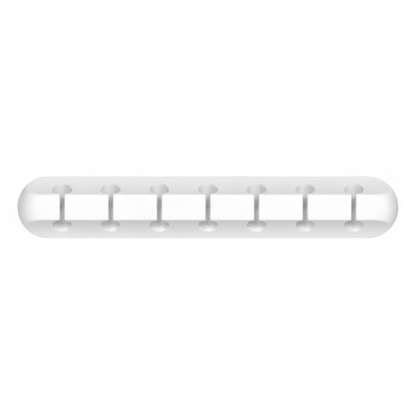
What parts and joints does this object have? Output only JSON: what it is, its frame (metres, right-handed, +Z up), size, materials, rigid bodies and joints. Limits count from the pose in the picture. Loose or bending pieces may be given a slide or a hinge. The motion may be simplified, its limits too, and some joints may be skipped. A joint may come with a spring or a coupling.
{
  "type": "cable organizer",
  "caption": "Low pill-shaped silicone strip with a row of round channels across it, each with a narrow slot in the top that a lead is pressed through, and an adhesive pad underneath.",
  "frame": {"origin": "middle of the underside, on the surface that the strip stands on", "axes": "+X along the strip, +Y along the channels, +Z up out of the land on top"},
  "size_m": [0.149, 0.024, 0.0128],
  "materials": {
    "silicone": "satin",
    "foam": "matte",
    "liner": "satin"
  },
  "bodies": {
    "root": {"silicone_body": "silicone", "adhesive_pad": "foam", "release_liner": "liner"}
  },
  "joints": []
}
